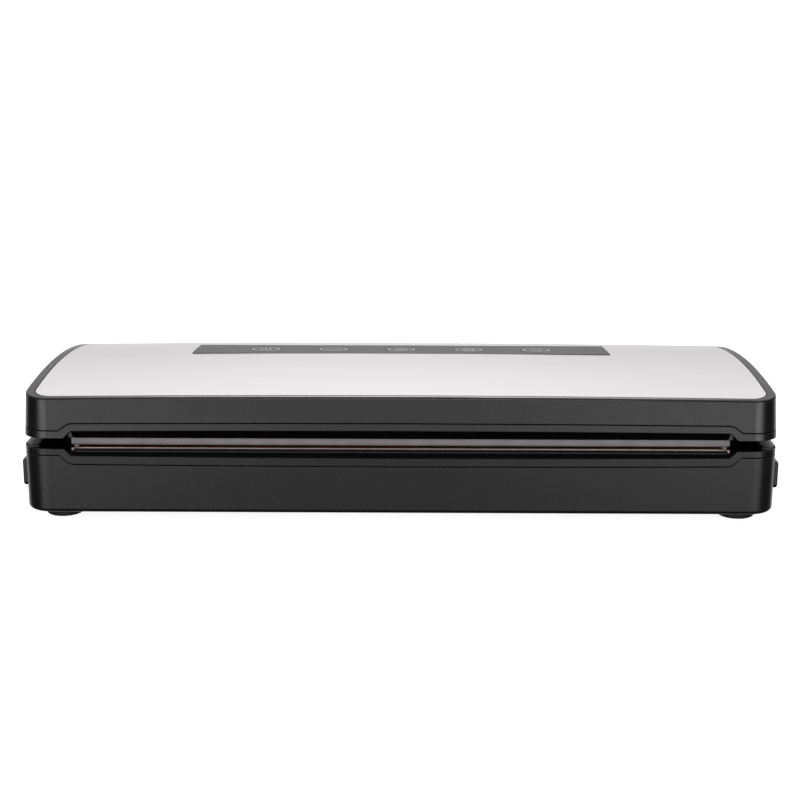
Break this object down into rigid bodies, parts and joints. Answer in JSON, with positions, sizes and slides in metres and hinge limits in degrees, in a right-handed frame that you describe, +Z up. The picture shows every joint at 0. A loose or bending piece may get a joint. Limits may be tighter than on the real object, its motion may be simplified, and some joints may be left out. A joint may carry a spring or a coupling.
{
  "type": "vacuum packing machine",
  "caption": "Low countertop vacuum packing machine with a hinged arched steel-topped lid, front bag mouth, sealing bar, vacuum trough and side release buttons.",
  "frame": {"origin": "middle of the footprint, on the table under the feet", "axes": "+X along the machine to its right end, +Y from the front to the back, +Z up"},
  "size_m": [0.3666, 0.145, 0.0651],
  "materials": {
    "shell_plastic": "satin, fine moulded grain",
    "trim_plastic": "satin black",
    "brushed_steel": "brushed along the length",
    "panel_plastic": "gloss film",
    "button_plastic": "gloss film",
    "silicone_strip": "satin silicone",
    "foam": "closed-cell foam",
    "tape": "woven coated tape",
    "element_metal": "bare",
    "bar_metal": "anodised",
    "foot_rubber": "matt",
    "motor_metal": "plated",
    "zinc_steel": "zinc plated",
    "pump_plastic": "natural nylon",
    "soft_rubber": "matt",
    "hose_silicone": "translucent silicone",
    "circuit_board": "solder mask",
    "component_black": "moulded",
    "winding": "varnished",
    "contact_metal": "bare"
  },
  "bodies": {
    "base": {"base_shell": "shell_plastic", "base_deck": "trim_plastic", "lower_gasket": "foam", "heater_tape": "tape", "heating_element": "element_metal", "sealing_bar": "bar_metal", "foot_front_left": "foot_rubber", "foot_front_right": "foot_rubber", "foot_rear_left": "foot_rubber", "foot_rear_right": "foot_rubber", "pump_motor": "motor_metal", "hinge_pin_left": "zinc_steel", "hinge_pin_right": "zinc_steel", "base_screws": "zinc_steel", "release_spring_left": "zinc_steel", "release_spring_right": "zinc_steel", "pump_housing": "pump_plastic", "pump_cap": "pump_plastic", "pump_rod": "pump_plastic", "suction_nozzle": "pump_plastic", "vent_nozzle": "pump_plastic", "release_valve": "pump_plastic", "pump_diaphragm": "soft_rubber", "vacuum_hose": "hose_silicone", "vent_hose": "hose_silicone", "power_board": "circuit_board", "board_parts": "component_black", "lid_switch_left": "component_black", "lid_switch_right": "component_black", "power_inlet": "component_black", "transformer": "winding", "inlet_pins": "contact_metal"},
    "lid": {"lid_cover": "shell_plastic", "steel_plate": "brushed_steel", "lid_inner_plate": "trim_plastic", "pressure_strip": "silicone_strip", "upper_gasket": "foam", "catch_left": "trim_plastic", "catch_right": "trim_plastic", "control_panel": "panel_plastic", "control_board": "circuit_board", "tact_switches": "component_black", "lid_screws": "zinc_steel"},
    "left_release": {"release_button_left": "shell_plastic"},
    "right_release": {"release_button_right": "shell_plastic"},
    "pump_rotor": {"pump_crank": "zinc_steel"},
    "key_1": {"panel_button_1": "button_plastic"},
    "key_2": {"panel_button_2": "button_plastic"},
    "key_3": {"panel_button_3": "button_plastic"},
    "key_4": {"panel_button_4": "button_plastic"},
    "key_5": {"panel_button_5": "button_plastic"}
  },
  "joints": [
    {"name": "lid_hinge", "type": "hinge", "parent": "base", "child": "lid", "pos_m": [0, 0.0695, 0.041], "axis": [-1, 0, 0], "range_deg": [0, 85]},
    {"name": "left_release_press", "type": "slide", "parent": "base", "child": "left_release", "axis": [1, 0, 0], "range_m": [0, 0.003], "stiffness_N_per_m": 400, "springref_m": -0.002, "deforming": ["release_spring_left"]},
    {"name": "right_release_press", "type": "slide", "parent": "base", "child": "right_release", "axis": [-1, 0, 0], "range_m": [0, 0.003], "stiffness_N_per_m": 400, "springref_m": -0.002, "deforming": ["release_spring_right"]},
    {"name": "key_1_press", "type": "slide", "parent": "lid", "child": "key_1", "axis": [0, -0.1095, -0.994], "range_m": [0, 0.0005], "stiffness_N_per_m": 400, "springref_m": -0.001},
    {"name": "key_2_press", "type": "slide", "parent": "lid", "child": "key_2", "axis": [0, -0.1095, -0.994], "range_m": [0, 0.0005], "stiffness_N_per_m": 400, "springref_m": -0.001},
    {"name": "key_3_press", "type": "slide", "parent": "lid", "child": "key_3", "axis": [0, -0.1095, -0.994], "range_m": [0, 0.0005], "stiffness_N_per_m": 400, "springref_m": -0.001},
    {"name": "key_4_press", "type": "slide", "parent": "lid", "child": "key_4", "axis": [0, -0.1095, -0.994], "range_m": [0, 0.0005], "stiffness_N_per_m": 400, "springref_m": -0.001},
    {"name": "key_5_press", "type": "slide", "parent": "lid", "child": "key_5", "axis": [0, -0.1095, -0.994], "range_m": [0, 0.0005], "stiffness_N_per_m": 400, "springref_m": -0.001},
    {"name": "pump_turn", "type": "hinge", "parent": "base", "child": "pump_rotor", "pos_m": [-0.045, 0.0455, 0.019], "axis": [1, 0, 0], "continuous": true}
  ]
}
